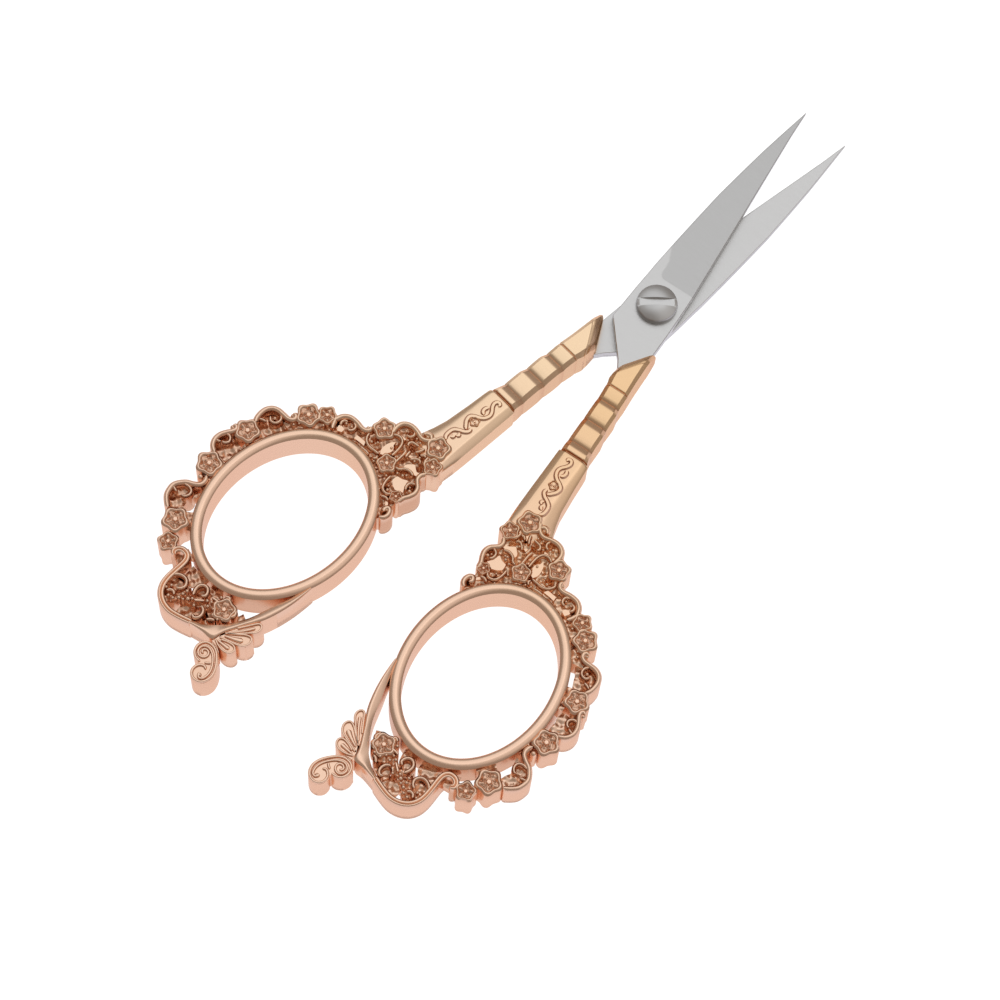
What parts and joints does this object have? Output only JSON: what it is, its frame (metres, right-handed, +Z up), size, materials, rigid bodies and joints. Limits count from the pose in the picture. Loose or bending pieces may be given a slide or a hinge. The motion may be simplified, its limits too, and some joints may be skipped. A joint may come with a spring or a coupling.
{
  "type": "embroidery scissors",
  "caption": "Small pointed embroidery scissors with cast openwork flower-and-scroll handles, oval finger rings and a slotted pivot screw, lying a little open.",
  "frame": {"origin": "middle of the part's box at rest, on the flat surface that the handles lie on", "axes": "+X along the midline towards the blade tips, +Y towards the lower half's finger ring, +Z up towards the screw head; the pivot is 23.7 mm ahead of the origin on X"},
  "size_m": [0.126, 0.0662, 0.0061],
  "materials": {
    "handle_casting": "die-cast zinc alloy with satin rose-gold plating, browner in the recesses of the relief",
    "blade_steel": "ground stainless steel, satin, with polished cutting edges",
    "screw_steel": "turned steel, bright, domed head with a driver slot"
  },
  "bodies": {
    "lower_half": {"lower_handle": "handle_casting", "lower_blade": "blade_steel", "pivot_screw": "screw_steel"},
    "upper_half": {"upper_handle": "handle_casting", "upper_blade": "blade_steel"}
  },
  "joints": [
    {"name": "pivot", "type": "hinge", "parent": "lower_half", "child": "upper_half", "pos_m": [0.02369, 0, 0.003], "axis": [0, 0, 1], "range_deg": [-11.86, 60]}
  ]
}
